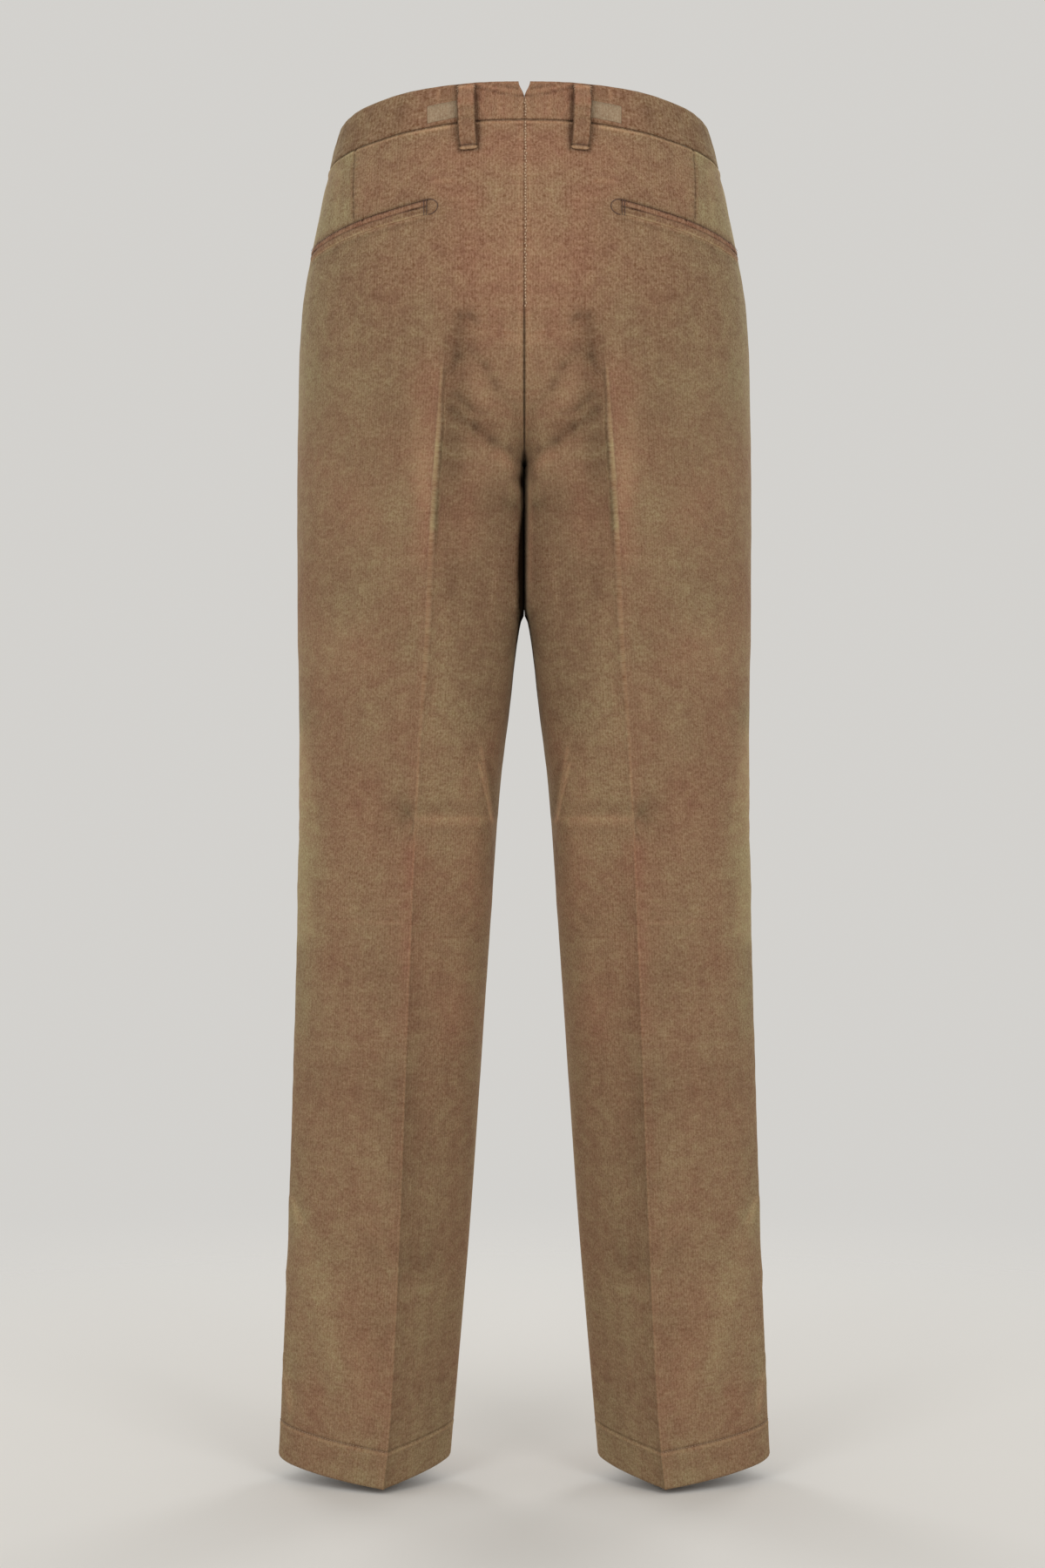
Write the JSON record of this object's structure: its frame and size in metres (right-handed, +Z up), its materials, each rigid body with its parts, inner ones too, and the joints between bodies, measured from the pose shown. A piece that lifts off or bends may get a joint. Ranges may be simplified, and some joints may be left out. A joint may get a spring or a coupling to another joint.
{
  "type": "corduroy trousers",
  "caption": "Straight-leg corduroy trousers held open as if worn, with pressed creases, a waistband with belt loops, slanted front pockets and jetted back pockets.",
  "frame": {"origin": "middle of the waist where the wearer holds it up, at the height of the waistband seam at the centre back", "axes": "+Z up, +X to the wearer's left, -Y to the front; +Z is the longest extent and Y the shortest"},
  "size_m": [0.3948, 0.2572, 1.0932],
  "materials": {
    "corduroy": "brown needlecord with a soft worn nap",
    "button": "dark brown horn-like"
  },
  "bodies": {
    "root": {"back_panel_left": "corduroy", "front_panel_left": "corduroy", "pocket_facing_left": "corduroy", "waistband_left": "corduroy", "belt_loop_back_left": "corduroy", "belt_loop_side_left": "corduroy", "belt_loop_front_left": "corduroy", "pocket_lip_upper_left": "corduroy", "pocket_lip_lower_left": "corduroy", "back_panel_right": "corduroy", "front_panel_right": "corduroy", "pocket_facing_right": "corduroy", "waistband_right": "corduroy", "belt_loop_back_right": "corduroy", "belt_loop_side_right": "corduroy", "belt_loop_front_right": "corduroy", "pocket_lip_upper_right": "corduroy", "pocket_lip_lower_right": "corduroy", "fly_placket": "corduroy", "waist_button": "button"}
  },
  "joints": []
}
